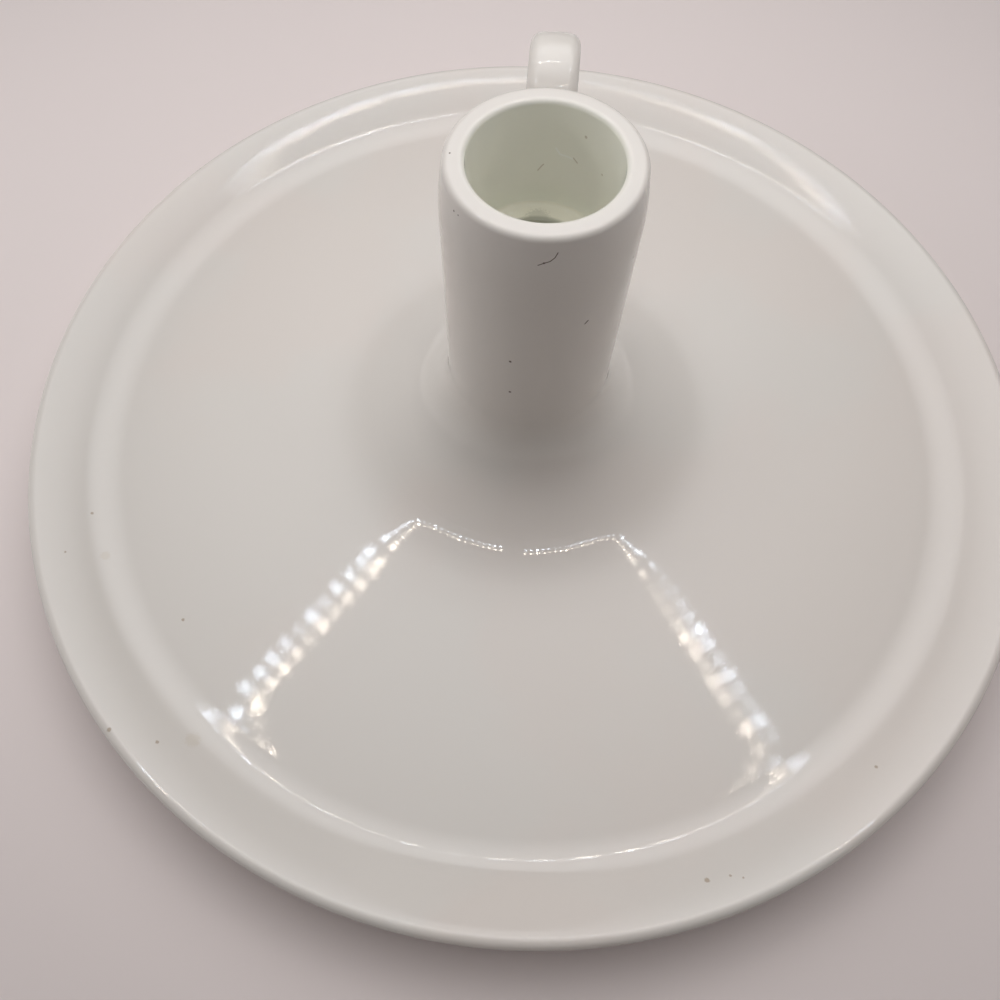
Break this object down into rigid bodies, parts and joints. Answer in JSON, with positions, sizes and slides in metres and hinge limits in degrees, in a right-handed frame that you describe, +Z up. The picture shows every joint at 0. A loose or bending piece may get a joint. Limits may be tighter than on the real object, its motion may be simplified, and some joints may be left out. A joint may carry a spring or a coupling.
{
  "type": "candlestick",
  "caption": "Low candlestick of white glazed porcelain: a round dished drip plate, a hollow flared stem that holds a dinner candle, and a strap handle behind the stem.",
  "frame": {"origin": "on the stem's axis, in the plane of the foot ring that rests on the table", "axes": "+Z up along the stem, +Y from the stem to the strap handle, +X to the right seen from the side away from the handle"},
  "size_m": [0.2, 0.2, 0.076],
  "materials": {
    "plate_glaze": "white glossy glaze, foot ring wiped bare",
    "stem_glaze": "white glossy glaze",
    "ledge_glaze": "thin glaze over a rougher body, slightly stained by wax and soot",
    "handle_glaze": "white glossy glaze"
  },
  "bodies": {
    "root": {"drip_plate": "plate_glaze", "candle_stem": "stem_glaze", "candle_ledge": "ledge_glaze", "strap_handle": "handle_glaze"}
  },
  "joints": []
}
